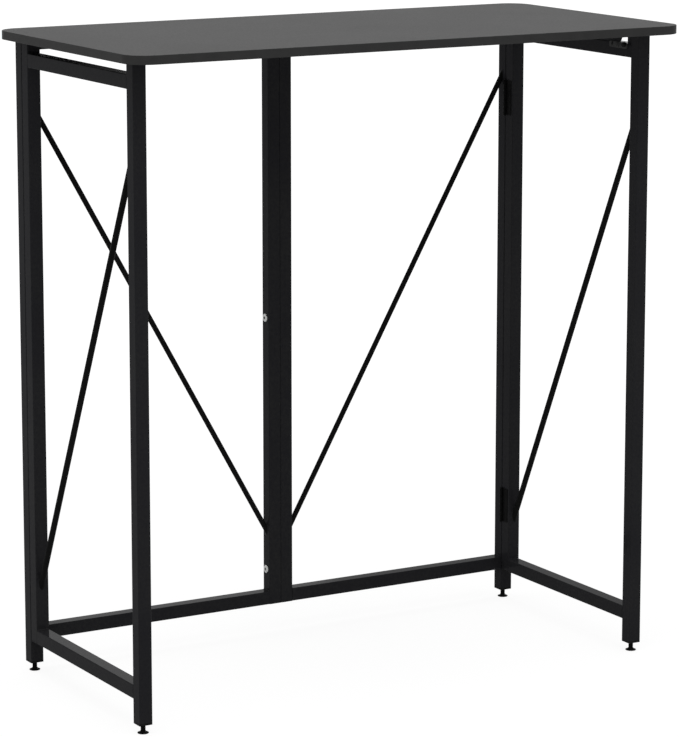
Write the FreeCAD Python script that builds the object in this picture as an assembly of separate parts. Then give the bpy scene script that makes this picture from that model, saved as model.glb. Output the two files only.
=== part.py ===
import FreeCAD, Part
import math
import os

from FreeCAD import Vector

# Folding standing desk: a frame of black steel tube in three hinged panels, under a board
# that tips up on hinges along its rear edge.
# Millimetres, with X to the right, Y to the rear and Z up. The origin is on the floor, under
# the middle of the board. Paired pieces are made for the right side and mirrored.

# Board
top_width = 1000.0
top_depth = 500.0
top_thick = 14.0
top_corner = 38.0
band_thick = 1.0
band_arris = 0.6
desk_height = 1061.3

# How far the board stands out past the frame
side_overhang = 27.8
front_overhang = 60.0
rear_overhang = 19.2

# Square tube of the frame, the places of its rails, and the height of the shallower back top rails
tube_side = 22.4
tube_wall = 1.2
tube_corner = 1.4
low_rail_z = 53.6
rail_drop = 21.1
top_rail_height = 18.2

# Braces, measured from the board's underside or from the top of the lower rails. Those of the
# side frames lie a little outside the middle of the tubes.
back_rod = 9.0
back_rod_drop = 107.8
back_rod_rise = 107.0
side_rod = 10.0
side_rod_drop = 145.7
side_rod_rise = 78.5
side_rod_out = 1.0

# Caps in the tube ends
cap_thick = 2.0
cap_plug = 12.0
plug_clear = 0.15

# Levelling feet
foot_gap = 14.7
pad_r = 9.0
pad_rim = 1.2
pad_cone = 2.4
pad_neck_r = 4.6
stem_r = 4.0
stem_clear = 0.07
stem_length = 36.0
insert_collar = 4.0
insert_plug = 22.0

# Hinges
hinge_length = 60.0
knuckle_count = 5
knuckle_r = 2.7
knuckle_gap = 0.3
knuckle_room = 0.4
knuckle_offset = 0.3
hinge_pin_r = 1.45
hinge_pin_clear = 0.05
hinge_head_r = 2.2
hinge_head = 1.0
leaf_thick = 1.2
leaf_clear = 0.2
leaf_width = 16.0
side_hinge_drop = 146.0
side_hinge_rise = 97.3
top_hinge_x = 290.0
top_hinge_offset = 0.4
top_leaf_depth = 13.0
top_leaf_foot = 1.0

# Bolts that draw the two centre posts together, and the rivet nuts they screw into
bolt_r = 4.0
bolt_clear = 0.3
bolt_head_r = 7.0
bolt_head = 2.4
bolt_socket = 5.0
bolt_socket_deep = 3.0
bolt_tail = 2.0
bolt_rise = 37.8
bolt_spacing = 438.5
nut_r = 5.5
nut_length = 14.0
nut_bulge_r = 7.0
nut_bulge = 3.0
thread_clear = 0.1

# Wood screws up into the board
screw_r = 1.75
screw_head_r = 3.2
screw_head = 1.8
screw_bite = 9.0
screw_pitch = 36.0
screw_edge = 7.5

# Latch: a notched hook with a thumb knob on the right side frame, and a keeper under the board
latch_back = 34.6
latch_drop = 3.8
hook_thick = 2.4
hook_gap = 0.3
hook_half = 5.0
hook_corner = 3.0
hook_reach = 23.5
hook_tail = 25.0
knob_back = 20.8
knob_up = 2.2
knob_r = 4.2
knob_height = 5.0
knob_stud_r = 1.2
keeper_pin_r = 1.5
keeper_radius = 15.5
notch_clear = 0.6
pivot_r = 2.5
pivot_clear = 0.06
pivot_head_r = 3.8
pivot_head = 1.6
pivot_tail_r = 1.8
pivot_tail = 10.0
keeper_plate = 2.0
keeper_length = 100.0
keeper_gap = 1.0
keeper_tab = 8.8
keeper_open = 15.1
keeper_step = 0.3
keeper_clear = 0.1
keeper_foot = 20.0
keeper_bend = 1.2
keeper_pin_past = 1.0
keeper_slope_run = 8.0
keeper_slope_rise = 12.0

# Planes that the pieces share
under = desk_height - top_thick
frame_x = top_width / 2 - side_overhang
inner_x = frame_x - tube_side
mid_x = frame_x - tube_side / 2
front_y = front_overhang - top_depth / 2
leg_rear = front_y + tube_side
back_y = top_depth / 2 - rear_overhang
post_front = back_y - tube_side
post_mid = back_y - tube_side / 2
hinge_gap = leaf_thick + leaf_clear
upright_rear = post_front - hinge_gap
upright_front = upright_rear - tube_side
low_rail_top = low_rail_z + tube_side
tube_top = under - cap_thick
leg_end = foot_gap + insert_collar
side_rail_top = under - rail_drop

# Hinge lines
side_axis_x = inner_x - knuckle_r - knuckle_offset
side_axis_y = post_front - knuckle_r - knuckle_offset
side_hinge_mids = {"upper": under - side_hinge_drop, "lower": low_rail_top + side_hinge_rise}
top_axis_y = back_y + knuckle_r + top_hinge_offset
top_axis_z = under - knuckle_r - top_hinge_offset

# Latch pivot and the plane of its keeper
latch_y = leg_rear + latch_back
latch_z = side_rail_top - latch_drop
hook_out = inner_x - hook_gap
hook_in = hook_out - hook_thick
keeper_in = inner_x + keeper_step
keeper_front = leg_rear + keeper_gap
keeper_rear = keeper_front + keeper_length

ALONG_X = Vector(1, 0, 0)
ALONG_Y = Vector(0, 1, 0)
ALONG_Z = Vector(0, 0, 1)


def block(low, high):
    size = high - low
    return Part.makeBox(size.x, size.y, size.z, low)


def bar(low, high, along, radius):
    """Block whose four edges along one direction are rounded."""
    box = block(low, high)
    edges = [e for e in box.Edges if abs(e.tangentAt(e.FirstParameter).dot(along)) > 0.9]
    return box.makeFillet(radius, edges)


def shrunk(low, high, along, inset):
    """Corners of a block drawn in on its four sides, and as long as before."""
    step = (Vector(1, 1, 1) - along) * inset
    return low + step, high - step


def tube(low, high, along):
    outer = bar(low, high, along, tube_corner)
    inner_low, inner_high = shrunk(low, high, along, tube_wall)
    return outer.cut(bar(inner_low, inner_high, along, max(tube_corner - tube_wall, 0.3)))


def rod(start, end, diameter, low, high):
    """Round rod on the line from start to end, trimmed flat at the faces of a block."""
    line = (end - start).normalize()
    spare = diameter * 4
    length = (end - start).Length + 2 * spare
    return Part.makeCylinder(diameter / 2, length, start - line * spare, line).common(block(low, high))


def mirrored(shape):
    return shape.mirror(Vector(0, 0, 0), ALONG_X)


def save(name, *solids):
    shape = solids[0] if len(solids) == 1 else Part.makeCompound(list(solids))
    shape.exportStep("parts/" + name + ".step")


def save_pair(name, shape):
    """A right-hand piece and its mirrored left-hand twin, each in its own node."""
    save("right_" + name, shape)
    save("left_" + name, mirrored(shape))


def end_cap(low, high, upward):
    """Moulded cap over a vertical tube end: a collar of the tube's outline and a plug inside it."""
    collar = bar(low, high, ALONG_Z, tube_corner)
    plug_low, plug_high = shrunk(low, high, ALONG_Z, tube_wall + plug_clear)
    if upward:
        plug_low.z = low.z - cap_plug
    else:
        plug_high.z = high.z + cap_plug
    corner = max(tube_corner - tube_wall, 0.3)
    return collar.fuse(bar(plug_low, plug_high, ALONG_Z, corner)).removeSplitter()


def top_cap(x, y):
    return end_cap(Vector(x, y, tube_top), Vector(x + tube_side, y + tube_side, under), True)


def bottom_cap(x, y):
    low = Vector(x, y, low_rail_z)
    return end_cap(low, low + Vector(tube_side, tube_side, cap_thick), False)


def leg_insert(x, y):
    """Collar and plug in a leg's lower end, with the bore that the foot's stem screws into."""
    collar = bar(Vector(x, y, foot_gap), Vector(x + tube_side, y + tube_side, leg_end), ALONG_Z, tube_corner)
    low, high = shrunk(
        Vector(x, y, foot_gap), Vector(x + tube_side, y + tube_side, leg_end + insert_plug),
        ALONG_Z, tube_wall + plug_clear,
    )
    plug = bar(low, high, ALONG_Z, max(tube_corner - tube_wall, 0.3))
    centre = Vector(x + tube_side / 2, y + tube_side / 2, foot_gap)
    bore = Part.makeCylinder(stem_r + stem_clear, insert_collar + insert_plug, centre)
    return collar.fuse(plug).cut(bore).removeSplitter()


def foot(x, y):
    """Thin pad that rises in a cone to a straight stem."""
    neck = pad_rim + pad_cone
    outline = [
        (0, 0), (pad_r - pad_rim / 3, 0), (pad_r, pad_rim / 3), (pad_r, pad_rim),
        (pad_neck_r, neck), (stem_r, neck + pad_neck_r - stem_r), (stem_r, stem_length),
        (0, stem_length), (0, 0),
    ]
    face = Part.Face(Part.makePolygon([Vector(r, 0, z) for r, z in outline]))
    solid = face.revolve(Vector(0, 0, 0), ALONG_Z, 360)
    return solid.translated(Vector(x + tube_side / 2, y + tube_side / 2, 0))


def hinge_leaf(plate, start, along, share):
    """Plate with every second knuckle, cut clear of the other leaf's knuckles."""
    step = hinge_length / knuckle_count
    for i in range(knuckle_count):
        base = start + along * (i * step)
        if i % 2 == share:
            ring = Part.makeCylinder(knuckle_r, step - knuckle_gap, base + along * (knuckle_gap / 2), along)
            plate = plate.fuse(ring)
        else:
            plate = plate.cut(Part.makeCylinder(knuckle_r + knuckle_room, step, base, along))
    bore = Part.makeCylinder(hinge_pin_r + hinge_pin_clear, hinge_length, start, along)
    return plate.cut(bore).removeSplitter()


def hinge_pin(start, along):
    """Pin as long as the knuckles, with a low head at each end."""
    pin = Part.makeCylinder(hinge_pin_r, hinge_length, start, along)
    for base in (start - along * hinge_head, start + along * hinge_length):
        pin = pin.fuse(Part.makeCylinder(hinge_head_r, hinge_head, base, along))
    return pin.removeSplitter()


def rim_rounded(solid, point, normal, radius):
    """Rounds the circular edge whose centre is at a point on the given axis."""
    rims = [
        e for e in solid.Edges
        if hasattr(e.Curve, "Radius") and (e.Curve.Center - point).Length < 0.001
        and abs(e.Curve.Axis.dot(normal)) > 0.9
    ]
    return solid.makeFillet(radius, rims)


def hexagon(centre, along, flats, height):
    """Six-sided prism that stands on a point and runs along X."""
    corner_r = flats / math.sqrt(3)
    points = []
    for i in range(7):
        turn = math.radians(60 * i)
        points.append(centre + Vector(0, corner_r * math.cos(turn), corner_r * math.sin(turn)))
    return Part.Face(Part.makePolygon(points)).extrude(along * height)


def cross_recess(point, along, reach, deep):
    """Two crossed slots cut down from a screw head, for a driver."""
    slot = reach / 3
    one = Part.makeBox(2 * reach, slot, deep, Vector(-reach, -slot / 2, 0))
    two = Part.makeBox(slot, 2 * reach, deep, Vector(-slot / 2, -reach, 0))
    cross = one.fuse(two)
    cross.Placement = FreeCAD.Placement(point, FreeCAD.Rotation(ALONG_Z, along))
    return cross


def wood_screw(x, y, seat_z):
    """Round-headed screw driven up into the board, with its head under a plate."""
    head_low = Vector(x, y, seat_z - screw_head)
    head = Part.makeCylinder(screw_head_r, screw_head, head_low)
    head = rim_rounded(head, head_low, ALONG_Z, screw_head * 0.7)
    shank = Part.makeCylinder(screw_r, under + screw_bite - seat_z, Vector(x, y, seat_z))
    recess = cross_recess(head_low, ALONG_Z, screw_head_r * 0.55, screw_head * 0.6)
    return head.fuse(shank).cut(recess).removeSplitter()


def screw_hole(x, y, low_z):
    return Part.makeCylinder(screw_r + thread_clear, under + screw_bite - low_z, Vector(x, y, low_z))


def top_hinge_screw_places():
    return [(top_hinge_x + s * screw_pitch / 2, top_axis_y + screw_edge) for s in (-1, 1)]


def keeper_screw_places():
    x = keeper_in + (keeper_foot + keeper_plate) / 2
    middle = (keeper_front + keeper_rear) / 2
    return [(x, middle + s * keeper_length / 4) for s in (-1, 1)]


def back_brace():
    top = Vector(inner_x, post_mid, under - back_rod_drop)
    low = Vector(tube_side, post_mid, low_rail_top + back_rod_rise)
    room_low = Vector(tube_side, post_front, low_rail_top)
    return rod(low, top, back_rod, room_low, Vector(inner_x, back_y, under - top_rail_height))


def side_brace():
    x = mid_x + side_rod_out
    top = Vector(x, leg_rear, under - side_rod_drop)
    low = Vector(x, upright_front, low_rail_top + side_rod_rise)
    room_high = Vector(frame_x, upright_front, side_rail_top - tube_side)
    return rod(low, top, side_rod, Vector(inner_x, leg_rear, low_rail_top), room_high)


def bolt_places():
    low = low_rail_top + bolt_rise
    return [Vector(0, post_mid, low), Vector(0, post_mid, low + bolt_spacing)]


def centre_post():
    return tube(Vector(0, post_front, low_rail_z + cap_thick), Vector(tube_side, back_y, tube_top), ALONG_Z)


def left_centre_post():
    post = mirrored(centre_post())
    for place in bolt_places():
        start = place - ALONG_X * tube_side
        post = post.cut(Part.makeCylinder(bolt_r + bolt_clear, tube_side, start, ALONG_X))
    return post


def right_centre_post():
    post = centre_post()
    for place in bolt_places():
        post = post.cut(Part.makeCylinder(nut_r + thread_clear, tube_wall, place, ALONG_X))
    return post


def centre_bolt(place):
    """Low-headed bolt through the left centre post and into the right one."""
    seat = place - ALONG_X * tube_side
    crown = seat - ALONG_X * bolt_head
    head = Part.makeCylinder(bolt_head_r, bolt_head, crown, ALONG_X)
    head = rim_rounded(head, crown, ALONG_X, bolt_head * 0.75)
    shank = Part.makeCylinder(bolt_r, tube_side + nut_length + bolt_tail, seat, ALONG_X)
    return head.fuse(shank).cut(hexagon(crown, ALONG_X, bolt_socket, bolt_socket_deep)).removeSplitter()


def rivet_nut(place):
    """Threaded sleeve set in the right post's wall, upset behind it."""
    sleeve = Part.makeCylinder(nut_r, nut_length, place, ALONG_X)
    collar = Part.makeCylinder(nut_bulge_r, nut_bulge, place + ALONG_X * tube_wall, ALONG_X)
    bore = Part.makeCylinder(bolt_r + thread_clear, nut_length, place, ALONG_X)
    return sleeve.fuse(collar).cut(bore).removeSplitter()


def side_upper_rail():
    low = Vector(inner_x, leg_rear, side_rail_top - tube_side)
    return tube(low, Vector(frame_x, upright_front, side_rail_top), ALONG_Y)


def latched_rail():
    """Right upper rail, with the hole for the latch's screw."""
    rail = side_upper_rail()
    pivot = Vector(inner_x, latch_y, latch_z)
    return rail.cut(Part.makeCylinder(pivot_tail_r + thread_clear, tube_wall, pivot, ALONG_X))


def latch_hook():
    """Flat hook that lies along the rail and turns up. Its curved notch takes the keeper's pin."""
    low = Vector(hook_in, latch_y - hook_tail, latch_z - hook_half)
    high = Vector(hook_out, latch_y + hook_reach, latch_z + hook_half)
    arm = bar(low, high, ALONG_X, hook_corner)
    pivot = Vector(hook_in, latch_y, latch_z)
    notch_r = keeper_pin_r + notch_clear
    notch = Part.makeCylinder(notch_r, hook_thick, pivot + ALONG_Y * keeper_radius, ALONG_X)
    sweep = Part.makeCylinder(keeper_radius + notch_r, hook_thick, pivot, ALONG_X)
    sweep = sweep.cut(Part.makeCylinder(keeper_radius - notch_r, hook_thick, pivot, ALONG_X))
    mouth = sweep.common(block(pivot, high))
    bore = Part.makeCylinder(pivot_r + pivot_clear, hook_thick, pivot, ALONG_X)
    stud = pivot - ALONG_Y * knob_back + ALONG_Z * knob_up
    stud_hole = Part.makeCylinder(knob_stud_r + thread_clear, hook_thick, stud, ALONG_X)
    return arm.cut(notch).cut(mouth).cut(bore).cut(stud_hole)


def latch_knob():
    """Thumb knob with a stud through the hook's tail."""
    seat = Vector(hook_in, latch_y - knob_back, latch_z + knob_up)
    face = seat - ALONG_X * knob_height
    knob = Part.makeCylinder(knob_r, knob_height, face, ALONG_X)
    knob = rim_rounded(knob, face, ALONG_X, knob_r * 0.4)
    stud = Part.makeCylinder(knob_stud_r, hook_thick, seat, ALONG_X)
    return knob.fuse(stud).removeSplitter()


def latch_screw():
    """Shoulder screw that the hook turns on, driven into the rail's inner wall."""
    shoulder = hook_thick + 2 * hook_gap
    face = Vector(inner_x - shoulder - pivot_head, latch_y, latch_z)
    head = Part.makeCylinder(pivot_head_r, pivot_head, face, ALONG_X)
    head = rim_rounded(head, face, ALONG_X, pivot_head * 0.6)
    head = head.cut(cross_recess(face, ALONG_X, pivot_head_r * 0.5, pivot_head * 0.5))
    body = Part.makeCylinder(pivot_r, shoulder, face + ALONG_X * pivot_head, ALONG_X)
    tail = Part.makeCylinder(pivot_tail_r, pivot_tail, Vector(inner_x, latch_y, latch_z), ALONG_X)
    return head.fuse(body).fuse(tail).removeSplitter()


def latch_keeper():
    """Bent plate screwed under the board, with a pin that the hook's notch closes on.

    Its web stands over the rail. It has a tab at the front, then an opening with a slanted rear edge.
    """
    web_low = side_rail_top + keeper_clear
    tab_rear = keeper_front + keeper_tab
    slope_top = tab_rear + keeper_open
    outline = [
        (keeper_front, under), (keeper_front, web_low), (tab_rear, web_low),
        (tab_rear, web_low + keeper_slope_rise), (slope_top, web_low + keeper_slope_rise),
        (slope_top + keeper_slope_run, web_low), (keeper_rear, web_low), (keeper_rear, under),
        (keeper_front, under),
    ]
    face = Part.Face(Part.makePolygon([Vector(keeper_in, y, z) for y, z in outline]))
    web = face.extrude(ALONG_X * keeper_plate)
    foot_plate = block(
        Vector(keeper_in, keeper_front, under - keeper_plate),
        Vector(keeper_in + keeper_foot, keeper_rear, under),
    )
    plate = web.fuse(foot_plate).removeSplitter()
    bend = [
        e for e in plate.Edges
        if e.Length > keeper_length - 0.01 and abs(e.CenterOfMass.x - keeper_in) < 0.01
        and abs(e.CenterOfMass.z - under) < 0.01
    ]
    plate = plate.makeFillet(keeper_bend, bend)
    for x, y in keeper_screw_places():
        plate = plate.cut(screw_hole(x, y, under - keeper_plate))
    pin_end = Vector(hook_in - keeper_pin_past, latch_y, latch_z + keeper_radius)
    pin = Part.makeCylinder(keeper_pin_r, keeper_in - pin_end.x, pin_end, ALONG_X)
    return plate.fuse(pin).removeSplitter()


def side_hinge_start(middle):
    return Vector(side_axis_x, side_axis_y, middle - hinge_length / 2)


def post_leaf(middle):
    """Leaf in the seam, on the back post's front face."""
    start = side_hinge_start(middle)
    low = Vector(side_axis_x, post_front - leaf_thick, start.z)
    plate = block(low, Vector(inner_x + leaf_width, post_front, start.z + hinge_length))
    return hinge_leaf(plate, start, ALONG_Z, 0)


def upright_leaf(middle):
    """Leaf on the upright's inner face."""
    start = side_hinge_start(middle)
    low = Vector(inner_x - leaf_thick, side_axis_y - leaf_width, start.z)
    plate = block(low, Vector(inner_x, side_axis_y, start.z + hinge_length))
    return hinge_leaf(plate, start, ALONG_Z, 1)


def top_hinge_start():
    return Vector(top_hinge_x - hinge_length / 2, top_axis_y, top_axis_z)


def rail_leaf():
    start = top_hinge_start()
    low = Vector(start.x, back_y, under - top_rail_height + top_leaf_foot)
    plate = block(low, Vector(start.x + hinge_length, back_y + leaf_thick, top_axis_z))
    return hinge_leaf(plate, start, ALONG_X, 0)


def board_leaf():
    start = top_hinge_start()
    low = Vector(start.x, top_axis_y, under - leaf_thick)
    plate = block(low, Vector(start.x + hinge_length, top_axis_y + top_leaf_depth, under))
    leaf = hinge_leaf(plate, start, ALONG_X, 1)
    for x, y in top_hinge_screw_places():
        leaf = leaf.cut(screw_hole(x, y, under - leaf_thick))
    return leaf


def board_outline(inset):
    """Solid of the board's outline, drawn in by an inset, over the board's thickness."""
    half_x = top_width / 2 - inset
    half_y = top_depth / 2 - inset
    high = Vector(half_x, half_y, desk_height)
    return bar(Vector(-half_x, -half_y, under), high, ALONG_Z, top_corner - inset)


def edge_band():
    outer = board_outline(0)
    rims = [
        e for e in outer.Edges
        if min(abs(e.CenterOfMass.z - under), abs(e.CenterOfMass.z - desk_height)) < 0.001
    ]
    return outer.makeFillet(band_arris, rims).cut(board_outline(band_thick))


def desktop_board():
    board = board_outline(band_thick)
    for x, y in top_hinge_screw_places():
        hole = screw_hole(x, y, under)
        board = board.cut(hole).cut(mirrored(hole))
    for x, y in keeper_screw_places():
        board = board.cut(screw_hole(x, y, under))
    return board


os.makedirs("parts", exist_ok=True)

# Back frame
save_pair("back_post", tube(Vector(inner_x, post_front, leg_end), Vector(frame_x, back_y, tube_top), ALONG_Z))
save("left_centre_post", left_centre_post())
save("right_centre_post", right_centre_post())
for level, z, top_z in (("lower", low_rail_z, low_rail_top), ("upper", under - top_rail_height, under)):
    rail = tube(Vector(tube_side, post_front, z), Vector(inner_x, back_y, top_z), ALONG_X)
    save_pair("back_" + level + "_rail", rail)
save_pair("back_brace", back_brace())
save("centre_bolts", *[centre_bolt(place) for place in bolt_places()])
save("centre_rivet_nuts", *[rivet_nut(place) for place in bolt_places()])
back_caps = [top_cap(inner_x, post_front), top_cap(0, post_front), bottom_cap(0, post_front)]
save("back_caps", *(back_caps + [mirrored(cap) for cap in back_caps]))
back_insert = leg_insert(inner_x, post_front)
save("back_leg_inserts", back_insert, mirrored(back_insert))

# Side frames
save_pair("front_leg", tube(Vector(inner_x, front_y, leg_end), Vector(frame_x, leg_rear, tube_top), ALONG_Z))
upright_low = Vector(inner_x, upright_front, low_rail_z + cap_thick)
save_pair("rear_upright", tube(upright_low, Vector(frame_x, upright_rear, tube_top), ALONG_Z))
side_rail_low = Vector(inner_x, leg_rear, low_rail_z)
save_pair("side_lower_rail", tube(side_rail_low, Vector(frame_x, upright_front, low_rail_top), ALONG_Y))
save("left_side_upper_rail", mirrored(side_upper_rail()))
save("right_side_upper_rail", latched_rail())
save_pair("side_brace", side_brace())
side_caps = [top_cap(inner_x, front_y), top_cap(inner_x, upright_front), bottom_cap(inner_x, upright_front)]
save("right_side_caps", *side_caps)
save("left_side_caps", *[mirrored(cap) for cap in side_caps])
save_pair("front_leg_insert", leg_insert(inner_x, front_y))

# Levelling feet
save_pair("front_foot", foot(inner_x, front_y))
save_pair("back_foot", foot(inner_x, post_front))

# Hinges between the back frame and the side frames
side_pins = []
for level, middle in side_hinge_mids.items():
    save_pair(level + "_hinge_post_leaf", post_leaf(middle))
    save_pair(level + "_hinge_frame_leaf", upright_leaf(middle))
    side_pins.append(hinge_pin(side_hinge_start(middle), ALONG_Z))
save("right_hinge_pins", *side_pins)
save("left_hinge_pins", *[mirrored(pin) for pin in side_pins])

# Latch on the right
save("latch_hook", latch_hook())
save("latch_knob", latch_knob())
save("latch_screw", latch_screw())
save("latch_keeper", latch_keeper())
save("keeper_screws", *[wood_screw(x, y, under - keeper_plate) for x, y in keeper_screw_places()])

# Board and the hinges along its rear edge
save("desktop_board", desktop_board())
save("edge_band", edge_band())
save_pair("top_hinge_rail_leaf", rail_leaf())
save_pair("top_hinge_board_leaf", board_leaf())
top_pin = hinge_pin(top_hinge_start(), ALONG_X)
save("top_hinge_pins", top_pin, mirrored(top_pin))
hinge_screws = [wood_screw(x, y, under - leaf_thick) for x, y in top_hinge_screw_places()]
save("top_hinge_screws", *(hinge_screws + [mirrored(screw) for screw in hinge_screws]))
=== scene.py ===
import math

import bpy
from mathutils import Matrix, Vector


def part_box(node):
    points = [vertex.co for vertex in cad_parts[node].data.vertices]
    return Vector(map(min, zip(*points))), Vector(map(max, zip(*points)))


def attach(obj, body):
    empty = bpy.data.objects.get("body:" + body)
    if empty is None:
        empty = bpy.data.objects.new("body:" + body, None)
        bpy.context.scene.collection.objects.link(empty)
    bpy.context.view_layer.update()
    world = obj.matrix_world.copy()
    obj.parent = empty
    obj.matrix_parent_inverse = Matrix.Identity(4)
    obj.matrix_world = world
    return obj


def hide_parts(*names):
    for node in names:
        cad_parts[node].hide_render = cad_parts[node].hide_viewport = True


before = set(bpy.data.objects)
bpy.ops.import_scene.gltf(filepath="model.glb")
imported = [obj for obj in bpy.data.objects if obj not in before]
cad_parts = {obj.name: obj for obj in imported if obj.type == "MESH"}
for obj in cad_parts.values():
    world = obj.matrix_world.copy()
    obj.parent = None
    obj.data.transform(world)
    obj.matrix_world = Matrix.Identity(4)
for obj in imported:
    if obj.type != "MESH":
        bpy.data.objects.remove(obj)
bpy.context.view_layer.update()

# Posts, legs and rails. They are thin-walled square steel tube, cut to length and welded into
# three flat panels. Each panel is sprayed with black powder and baked after welding.
SIDES = ("left", "right")
TUBES = (
    "back_post", "centre_post", "back_lower_rail", "back_upper_rail",
    "front_leg", "rear_upright", "side_lower_rail", "side_upper_rail",
)
MM = 0.001
MIX_FACTOR, MIX_FROM, MIX_TO, MIX_RESULT = 0, 6, 7, 2
PEEL_UNEVENNESS = 0.07


def linear(code):
    """Linear RGBA of an sRGB hex colour."""
    channels = [int(code[i:i + 2], 16) / 255 for i in (1, 3, 5)]
    bent = [c / 12.92 if c <= 0.04045 else ((c + 0.055) / 1.055) ** 2.4 for c in channels]
    return (*bent, 1.0)


def per_metre(millimetres):
    """Texture scale that gives a pattern this spacing, as the textures count in metres."""
    return 1.0 / (millimetres * MM)


def fill(material, node, inputs):
    """Joins a node's inputs to other nodes, or sets them to constants."""
    for socket, value in inputs.items():
        if isinstance(value, bpy.types.NodeSocket):
            material.node_tree.links.new(value, node.inputs[socket])
        else:
            node.inputs[socket].default_value = value


def put(material, kind, inputs, **settings):
    """Adds a node with its settings and links."""
    node = material.node_tree.nodes.new("ShaderNode" + kind)
    for name, value in settings.items():
        setattr(node, name, value)
    fill(material, node, inputs)
    return node


def finish_with(material, inputs):
    """Fills the material's own shader."""
    fill(material, material.node_tree.nodes["Principled BSDF"], inputs)


def new_material(name):
    material = bpy.data.materials.new(name)
    material.use_nodes = True
    return material


def cover(material, *names):
    """Gives a finish to solids of the frame."""
    for name in names:
        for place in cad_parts[name].material_slots:
            place.material = material


def powder_coat(name, deep, pale, rough):
    """Baked polyester powder: a closed satin skin with a fine orange peel and soft cloudy patches.

    The peel is about 0.8 mm on the desk and is drawn at 3 mm, so that it shows.
    """
    coat = new_material(name)
    where = put(coat, "TexCoord", {}).outputs["Object"]
    peel = put(coat, "TexNoise", {"Vector": where, "Scale": per_metre(3.0), "Detail": 2.0})
    cloud = put(coat, "TexNoise", {"Vector": where, "Scale": per_metre(140.0), "Detail": 3.0})
    speck = put(coat, "TexNoise", {"Vector": where, "Scale": per_metre(5.0), "Detail": 1.0})
    blotch = put(coat, "Math", {
        0: cloud.outputs["Fac"], 1: speck.outputs["Fac"]}, operation="MULTIPLY")
    spread = put(coat, "MapRange", {
        "Value": blotch.outputs[0], "From Min": 0.1, "From Max": 0.42})
    tint = put(coat, "Mix", {
        MIX_FACTOR: spread.outputs[0], MIX_FROM: linear(deep), MIX_TO: linear(pale)}, data_type="RGBA")
    sheen = put(coat, "MapRange", {
        "Value": peel.outputs["Fac"], "From Min": 0.3, "From Max": 0.7,
        "To Min": rough - PEEL_UNEVENNESS, "To Max": rough + PEEL_UNEVENNESS})
    skin = put(coat, "Bump", {"Height": peel.outputs["Fac"], "Strength": 0.18, "Distance": 0.4 * MM})
    finish_with(coat, {
        "Base Color": tint.outputs[MIX_RESULT], "Roughness": sheen.outputs[0],
        "Normal": skin.outputs[0], "IOR": 1.5, "Specular IOR Level": 0.01,
    })
    return coat


frame_coat = powder_coat("black_powder_coat_on_steel", "#27272a", "#2e2e2f", 0.11)
for side in SIDES:
    cover(frame_coat, *[side + "_" + tube for tube in TUBES])

# Braces. They are plain round steel rods that stiffen the panels corner to corner. They are coated
# with the panels in the same black powder, and their colour is drawn darker than the tubes' as painted
# shade.
rod_coat_with_painted_shade = powder_coat("black_powder_on_rod_with_painted_shade", "#151515", "#1c1c1c", 0.4)
for side in SIDES:
    cover(rod_coat_with_painted_shade, side + "_back_brace", side + "_side_brace")

# Welds. A short bead runs along the upper or lower edge of each rail end, or along both, and a
# ring of bead holds each rod end. They are under the same black powder as the tube.
UP = Vector((0, 0, 1))
TUBE_CORNER = 1.4 * MM
RAIL_BEAD = 2.6 * MM
ROD_BEAD = 0.8 * RAIL_BEAD
BEAD_ROOT = 0.15
BEAD_ROUNDNESS = 0.45
BEAD_ARC = [math.radians(a) for a in (0, 22.5, 45, 67.5, 90)]
RIPPLE_LENGTH = 1.5 * MM
RIPPLE_DEPTH = 0.16
SECTIONS_PER_RIPPLE = 4
RING_SECTIONS = 56
START_SIZE = 0.35
START_GROWTH = 6.0
SHARP_ANGLE = math.radians(40)


def bead_section(corner, one, other, leg):
    """Cross-section of a fillet bead in the corner between two faces, between flat and round."""
    points = [corner - (one + other) * (BEAD_ROOT * leg)]
    for turn in BEAD_ARC:
        along_one = math.cos(turn)
        along_other = math.sin(turn)
        flat = 1.0 / (along_one + along_other)
        reach = leg * (BEAD_ROUNDNESS + (1.0 - BEAD_ROUNDNESS) * flat)
        points.append(corner + one * (reach * along_one) + other * (reach * along_other))
    return points


def rippled(leg, distance):
    return leg * (1.0 - RIPPLE_DEPTH * abs(math.sin(math.pi * distance / RIPPLE_LENGTH)))


def mesh_piece(mesh, name, body, material):
    """Puts a finished mesh on one body of the desk."""
    mesh.validate()
    mesh.polygons.foreach_set("use_smooth", [True] * len(mesh.polygons))
    mesh.set_sharp_from_angle(angle=SHARP_ANGLE)
    mesh.materials.append(material)
    piece = bpy.data.objects.new(name, mesh)
    bpy.context.scene.collection.objects.link(piece)
    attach(piece, body)
    return piece


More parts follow.
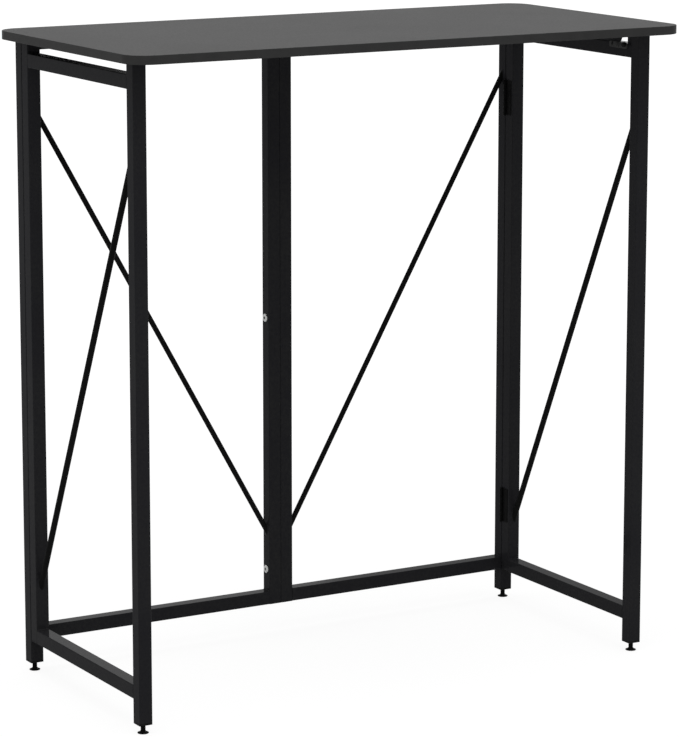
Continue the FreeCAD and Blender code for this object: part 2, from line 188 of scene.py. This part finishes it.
class Bead:
    """Gathers the beads of one welded panel into one mesh."""

    def __init__(self):
        self.points = []
        self.faces = []

    def sweep(self, sections, closed):
        """Skins a row of sections, as a closed ring or with both ends capped."""
        count = len(sections[0])
        first = len(self.points)
        for section in sections:
            self.points += section
        rows = len(sections)
        for i in range(rows if closed else rows - 1):
            here = first + i * count
            after = first + (i + 1) % rows * count
            for k in range(count):
                beside = (k + 1) % count
                self.faces.append((here + k, here + beside, after + beside, after + k))
        if not closed:
            last = first + (rows - 1) * count
            self.faces.append(tuple(first + k for k in reversed(range(count))))
            self.faces.append(tuple(last + k for k in range(count)))

    def run(self, start, end, one, other):
        """Straight bead along a corner, thinner at both ends."""
        length = (end - start).length
        steps = round(length / RIPPLE_LENGTH * SECTIONS_PER_RIPPLE)
        sections = []
        for i in range(steps + 1):
            share = i / steps
            fade = min(1.0, START_SIZE + START_GROWTH * min(share, 1.0 - share))
            leg = rippled(RAIL_BEAD, share * length) * fade
            sections.append(bead_section(start.lerp(end, share), one, other, leg))
        self.sweep(sections, False)

    def ring(self, centre, rod, wall, radius):
        """Bead round a rod end that meets a wall at a slant."""
        level = rod.cross(wall).normalized()
        slope = wall.cross(level).normalized()
        long_radius = radius / abs(rod.dot(wall))
        sections = []
        for i in range(RING_SECTIONS):
            turn = 2 * math.pi * i / RING_SECTIONS
            across, along = math.cos(turn), math.sin(turn)
            foot = centre + level * (radius * across) + slope * (long_radius * along)
            outward = level * (across / radius) + slope * (along / long_radius)
            leg = rippled(ROD_BEAD, turn * (radius + long_radius) / 2)
            sections.append(bead_section(foot, outward.normalized(), rod, leg))
        self.sweep(sections, True)

    def piece(self, name, body):
        mesh = bpy.data.meshes.new(name)
        mesh.from_pydata(self.points, [], self.faces)
        mesh_piece(mesh, name, body, frame_coat)


def rail_beads(bead, rail, axis, edges):
    """Beads where a rail's upper or lower edge meets the tubes at its two ends."""
    low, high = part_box(rail)
    across = 1 - axis
    for end, pull in ((low, 1), (high, -1)):
        inward = Vector((0, 0, 0))
        inward[axis] = pull
        for edge in edges:
            start = Vector(end)
            start.z = high.z if edge == "upper" else low.z
            start[across] = low[across] + TUBE_CORNER
            finish = Vector(start)
            finish[across] = high[across] - TUBE_CORNER
            bead.run(start, finish, UP if edge == "upper" else -UP, inward)


def rod_beads(bead, brace, axis, top_at_low):
    """Rings of bead at both ends of a brace, whose ends lie against faces across one axis."""
    low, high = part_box(brace)
    other = 1 - axis
    radius = (high[other] - low[other]) / 2
    run = high[axis] - low[axis]
    rise = high.z - low.z
    slant = math.hypot(run, rise)
    rise_mid = rise - 2 * radius * slant / run
    start = Vector(low)
    end = Vector(high)
    start[other] = end[other] = (low[other] + high[other]) / 2
    start.z = (low.z + high.z - rise_mid) / 2
    end.z = (low.z + high.z + rise_mid) / 2
    if top_at_low:
        start.z, end.z = end.z, start.z
    along = (end - start).normalized()
    wall = Vector((0, 0, 0))
    wall[axis] = 1
    bead.ring(start, along, wall, radius)
    bead.ring(end, -along, -wall, radius)


back_bead = Bead()
for side in SIDES:
    rail_beads(back_bead, side + "_back_lower_rail", 0, ("upper",))
    rail_beads(back_bead, side + "_back_upper_rail", 0, ("lower",))
    rod_beads(back_bead, side + "_back_brace", 0, side == "left")
back_bead.piece("back_frame_welds", "back_frame")
for side in SIDES:
    side_bead = Bead()
    for rail in ("side_lower_rail", "side_upper_rail"):
        rail_beads(side_bead, side + "_" + rail, 1, ("upper", "lower"))
    rod_beads(side_bead, side + "_side_brace", 1, True)
    side_bead.piece(side + "_side_frame_welds", side + "_side_frame")

# Hinges. They are pressed steel butt hinges with rolled knuckles and riveted pins. The side ones
# are welded into the seam between the panels, and all are coated with the frame. Their colour is
# drawn darker than the frame's, as painted shade in the seams and round the knuckles.
hinge_coat_with_painted_shade = powder_coat("black_powder_on_pressed_steel_with_painted_shade", "#131313", "#1a1a1a", 0.4)
for side in SIDES:
    for height in ("upper", "lower"):
        side_hinge = side + "_" + height + "_hinge"
        cover(hinge_coat_with_painted_shade, side_hinge + "_post_leaf", side_hinge + "_frame_leaf")
    cover(hinge_coat_with_painted_shade, side + "_top_hinge_rail_leaf", side + "_top_hinge_board_leaf")
    cover(hinge_coat_with_painted_shade, side + "_hinge_pins")
cover(hinge_coat_with_painted_shade, "top_hinge_pins")

# Caps and inserts. They are moulded in black polypropylene and pressed into the tube ends. The
# inserts in the four legs carry the feet's threads.
GRAIN_UNEVENNESS = 0.1


def moulded_plastic(name, deep, pale, rough):
    """Moulded plastic: low gloss from a spark-eroded mould, with a fine even grain.

    The grain is about 0.2 mm on the desk and is drawn at 1.2 mm, so that it shows.
    """
    plastic = new_material(name)
    where = put(plastic, "TexCoord", {}).outputs["Object"]
    grain = put(plastic, "TexNoise", {"Vector": where, "Scale": per_metre(1.2), "Detail": 3.0})
    flow = put(plastic, "TexNoise", {"Vector": where, "Scale": per_metre(18.0), "Detail": 2.0})
    tint = put(plastic, "Mix", {
        MIX_FACTOR: flow.outputs["Fac"], MIX_FROM: linear(deep), MIX_TO: linear(pale)}, data_type="RGBA")
    sheen = put(plastic, "MapRange", {
        "Value": grain.outputs["Fac"],
        "To Min": rough - GRAIN_UNEVENNESS, "To Max": rough + GRAIN_UNEVENNESS})
    skin = put(plastic, "Bump", {
        "Height": grain.outputs["Fac"], "Strength": 0.15, "Distance": 0.2 * MM})
    finish_with(plastic, {
        "Base Color": tint.outputs[MIX_RESULT], "Roughness": sheen.outputs[0],
        "Normal": skin.outputs[0], "IOR": 1.49, "Specular IOR Level": 0.02,
    })
    return plastic


cap_plastic = moulded_plastic("moulded_black_polypropylene", "#1b1b1b", "#242424", 0.5)
cover(cap_plastic, "back_caps", "back_leg_inserts")
for side in SIDES:
    cover(cap_plastic, side + "_side_caps", side + "_front_leg_insert")

# Levelling feet. Each is a thin round pad moulded onto a threaded stem, which is turned by hand
# to raise or lower its leg. The thread runs up into the leg's insert.
PAD_OUTLINE = [(radius * MM, height * MM) for radius, height in (
    (8.1, 0.0), (8.7, 0.14), (9.0, 0.5), (9.0, 0.9), (8.75, 1.2), (8.1, 1.45), (6.4, 2.2),
    (4.85, 3.05), (4.5, 3.5), (4.4, 4.2), (3.58, 4.4),
)]
STEM_FOOT = PAD_OUTLINE[-1][1]
STEM_RADIUS = 4.0 * MM
THREAD_PITCH = 1.0 * MM
THREAD_DEPTH = 0.42 * MM
ROWS_PER_PITCH = 6
ROWS_OF_RUN_IN = 8
ROWS_OF_RUN_OUT = 6
FOOT_SIDES = 40


def levelling_foot(name, node):
    """One foot as a closed mesh: the pad's turned outline, then the thread up to a flat end."""
    low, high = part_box(node)
    centre = Vector(((low.x + high.x) / 2, (low.y + high.y) / 2, low.z))
    stem = high.z - low.z - STEM_FOOT
    rows = [(radius, height, 0.0) for radius, height in PAD_OUTLINE]
    steps = round(stem / THREAD_PITCH * ROWS_PER_PITCH)
    for i in range(steps + 1):
        height = STEM_FOOT + stem * i / steps
        ease = min(1.0, i / ROWS_OF_RUN_IN, (steps - i) / ROWS_OF_RUN_OUT)
        rows.append((STEM_RADIUS - THREAD_DEPTH, height, THREAD_DEPTH * ease))
    points = [centre.copy()]
    for radius, height, thread in rows:
        for k in range(FOOT_SIDES):
            phase = (height / THREAD_PITCH - k / FOOT_SIDES) % 1.0
            reach = radius + thread * (1.0 - abs(2.0 * phase - 1.0))
            turn = 2 * math.pi * k / FOOT_SIDES
            points.append(centre + Vector((reach * math.cos(turn), reach * math.sin(turn), height)))
    points.append(centre + Vector((0, 0, high.z - low.z)))
    faces = []
    last = len(points) - 1
    for k in range(FOOT_SIDES):
        after = (k + 1) % FOOT_SIDES
        faces.append((0, 1 + after, 1 + k))
        for row in range(len(rows) - 1):
            here = 1 + row * FOOT_SIDES
            above = here + FOOT_SIDES
            faces.append((here + k, here + after, above + after, above + k))
        top = 1 + (len(rows) - 1) * FOOT_SIDES
        faces.append((top + k, top + after, last))
    mesh = bpy.data.meshes.new(name)
    mesh.from_pydata(points, [], faces)
    foot = mesh_piece(mesh, name, node, foot_plastic)
    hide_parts(node)


foot_plastic = moulded_plastic("moulded_black_nylon", "#151515", "#1d1d1d", 0.42)
for side in SIDES:
    for end in ("front", "back"):
        levelling_foot("levelling_foot_" + side + "_" + end, side + "_" + end + "_foot")

# Centre bolts, rivet nuts and screws. They are cold-headed steel with bright zinc plate. The bolts
# draw the two centre posts together, and their heads show on the left post.


def zinc_plate(name, deep, pale):
    """Bright zinc on cold-headed steel: a cool metal with a fine unevenness and patchy gloss.

    The unevenness is about 0.1 mm on the desk and is drawn at 0.6 mm, so that it shows.
    """
    zinc = new_material(name)
    where = put(zinc, "TexCoord", {}).outputs["Object"]
    grit = put(zinc, "TexNoise", {"Vector": where, "Scale": per_metre(0.6), "Detail": 2.0})
    bloom = put(zinc, "TexNoise", {"Vector": where, "Scale": per_metre(4.0), "Detail": 3.0})
    tint = put(zinc, "Mix", {
        MIX_FACTOR: bloom.outputs["Fac"], MIX_FROM: linear(deep), MIX_TO: linear(pale)}, data_type="RGBA")
    gloss = put(zinc, "MapRange", {"Value": bloom.outputs["Fac"], "To Min": 0.2, "To Max": 0.38})
    skin = put(zinc, "Bump", {"Height": grit.outputs["Fac"], "Strength": 0.12, "Distance": 0.1 * MM})
    finish_with(zinc, {
        "Base Color": tint.outputs[MIX_RESULT], "Roughness": gloss.outputs[0],
        "Normal": skin.outputs[0], "Metallic": 1.0,
    })
    return zinc


bright_zinc = zinc_plate("bright_zinc_on_steel", "#8e9092", "#bcbcb8")
cover(bright_zinc, "centre_bolts", "centre_rivet_nuts", "top_hinge_screws", "keeper_screws")

# Latch. A flat blanked hook turns on a shoulder screw in the right upper rail. When it is turned
# up, it takes hold of a pin on the bent keeper under the board.
latch_coat = powder_coat("grey_powder_on_blanked_steel", "#464646", "#525252", 0.45)
cover(frame_coat, "latch_keeper")
cover(latch_coat, "latch_hook", "latch_screw")
cover(cap_plastic, "latch_knob")

# Board. It is particle board faced on both sides with a plain charcoal laminate, and a thin band
# of the same colour is glued round its edge.


def melamine_laminate(name, deep, pale):
    """Melamine film pressed on board: an even colour, faintly clouded, with a pressed pearl grain.

    The grain is about 0.6 mm on the desk and is drawn at 2.5 mm, so that it shows.
    """
    laminate = new_material(name)
    where = put(laminate, "TexCoord", {}).outputs["Object"]
    cloud = put(laminate, "TexNoise", {"Vector": where, "Scale": per_metre(160.0), "Detail": 3.0})
    pearl = put(laminate, "TexNoise", {"Vector": where, "Scale": per_metre(2.5), "Detail": 2.0})
    mottle = put(laminate, "Math", {
        0: cloud.outputs["Fac"], 1: pearl.outputs["Fac"]}, operation="MULTIPLY")
    spread = put(laminate, "MapRange", {
        "Value": mottle.outputs[0], "From Min": 0.1, "From Max": 0.42})
    tint = put(laminate, "Mix", {
        MIX_FACTOR: spread.outputs[0], MIX_FROM: linear(deep), MIX_TO: linear(pale)}, data_type="RGBA")
    sheen = put(laminate, "MapRange", {
        "Value": pearl.outputs["Fac"], "To Min": 0.41, "To Max": 0.31})
    skin = put(laminate, "Bump", {
        "Height": pearl.outputs["Fac"], "Strength": 0.1, "Distance": 0.2 * MM})
    finish_with(laminate, {
        "Base Color": tint.outputs[MIX_RESULT], "Roughness": sheen.outputs[0],
        "Normal": skin.outputs[0], "IOR": 1.5, "Specular IOR Level": 0.0052,
    })
    return laminate


board_laminate = melamine_laminate("charcoal_melamine_laminate", "#3d3d3d", "#444444")
cover(board_laminate, "desktop_board")
band_plastic = moulded_plastic("charcoal_edge_band", "#383838", "#404040", 0.4)
cover(band_plastic, "edge_band")

# Floor and light. A white floor runs out past the view, in a bright room with a wide soft light
# overhead. A small weak one stands low behind the desk and shows only in the lower rails' tops.
FLOOR_REACH = 14.0
FLOOR_LEVEL = -0.2 * MM
ROOM_LIGHT = 0.45


def white_rays(owner):
    """Factor that is 1 for what the camera sees, directly or in a reflection or through glass."""
    seen = put(owner, "LightPath", {})
    mirrored = put(owner, "Math", {
        0: seen.outputs["Is Glossy Ray"], 1: seen.outputs["Is Transmission Ray"]}, operation="MAXIMUM")
    return put(owner, "Math", {
        0: seen.outputs["Is Camera Ray"], 1: mirrored.outputs[0]}, operation="MAXIMUM").outputs[0]


def white_paper(name):
    """Matt white paper, which the camera sees as white with the desk's shadow a little darker."""
    paper = new_material(name)
    finish_with(paper, {"Base Color": linear("#e6e6e6"), "Roughness": 0.9, "Specular IOR Level": 0.0})
    where = put(paper, "TexCoord", {}).outputs["Object"]
    away = put(paper, "VectorMath", {0: where}, operation="LENGTH")
    strength = put(paper, "MapRange", {
        "Value": away.outputs["Value"], "From Min": 1.0, "From Max": 3.0, "To Min": 0.9, "To Max": 1.0})
    glow = put(paper, "Emission", {"Color": linear("#ffffff"), "Strength": strength.outputs[0]})
    shade = put(paper, "BsdfDiffuse", {"Color": linear("#707070")})
    white = put(paper, "AddShader", {0: glow.outputs[0], 1: shade.outputs[0]})
    plain = paper.node_tree.nodes["Principled BSDF"]
    blend = put(paper, "MixShader", {0: white_rays(paper), 1: plain.outputs[0], 2: white.outputs[0]})
    fill(paper, paper.node_tree.nodes["Material Output"], {"Surface": blend.outputs[0]})
    return paper


def soft_light(name, place, target, width, height, power):
    lamp = bpy.data.lights.new(name, "AREA")
    lamp.shape = "ELLIPSE"
    lamp.size = width
    lamp.size_y = height
    lamp.energy = power
    light = bpy.data.objects.new(name, lamp)
    light.location = place
    light.rotation_euler = (Vector(target) - Vector(place)).to_track_quat("-Z", "Y").to_euler()
    bpy.context.scene.collection.objects.link(light)


floor_corners = [
    (x * FLOOR_REACH, y * FLOOR_REACH, FLOOR_LEVEL) for x, y in ((-1, -1), (1, -1), (1, 1), (-1, 1))]
floor_mesh = bpy.data.meshes.new("floor")
floor_mesh.from_pydata(floor_corners, [], [(0, 1, 2, 3)])
floor_mesh.materials.append(white_paper("white_paper_floor"))
floor = bpy.data.objects.new("floor", floor_mesh)
bpy.context.scene.collection.objects.link(floor)

soft_light("overhead", place=(-0.3, -0.5, 4.2), target=(0, 0, 0.6), width=4.0, height=4.0, power=95)
soft_light("low_rear", place=(0.65, 2.4, 0.76), target=(0, 0, 0.2), width=1.3, height=0.6, power=1.3)

room = bpy.data.worlds.new("white_room")
bpy.context.scene.world = room
room.use_nodes = True
room_level = put(room, "MapRange", {"Value": white_rays(room), "To Min": ROOM_LIGHT, "To Max": 1.0})
fill(room, room.node_tree.nodes["Background"], {
    "Color": linear("#ffffff"), "Strength": room_level.outputs[0]})

# Camera. It stands in front and to the left, a little above the board, with a long lens. Its
# place and turn come from the board's and the frame's corners in the photograph.
PHOTO_WIDTH = 679
PHOTO_HEIGHT = 737
FOCAL_PIXELS = 3273.8
CENTRE_PIXEL = (337.15, 302.4)
CAMERA_PLACE = (-2.6487, -4.5620, 1.5519)
CAMERA_DIP = 0.1766
CAMERA_TURN = -0.5245

lens = bpy.data.cameras.new("camera")
lens.sensor_width = 36.0
lens.lens = FOCAL_PIXELS / PHOTO_HEIGHT * lens.sensor_width
lens.shift_x = (PHOTO_WIDTH / 2 - CENTRE_PIXEL[0]) / PHOTO_HEIGHT
lens.shift_y = (CENTRE_PIXEL[1] - PHOTO_HEIGHT / 2) / PHOTO_HEIGHT
lens.clip_end = 100
camera = bpy.data.objects.new("camera", lens)
camera.location = CAMERA_PLACE
camera.rotation_euler = (math.pi / 2 - CAMERA_DIP, 0, CAMERA_TURN)
bpy.context.scene.collection.objects.link(camera)
bpy.context.scene.camera = camera
bpy.context.scene.view_settings.view_transform = "Standard"
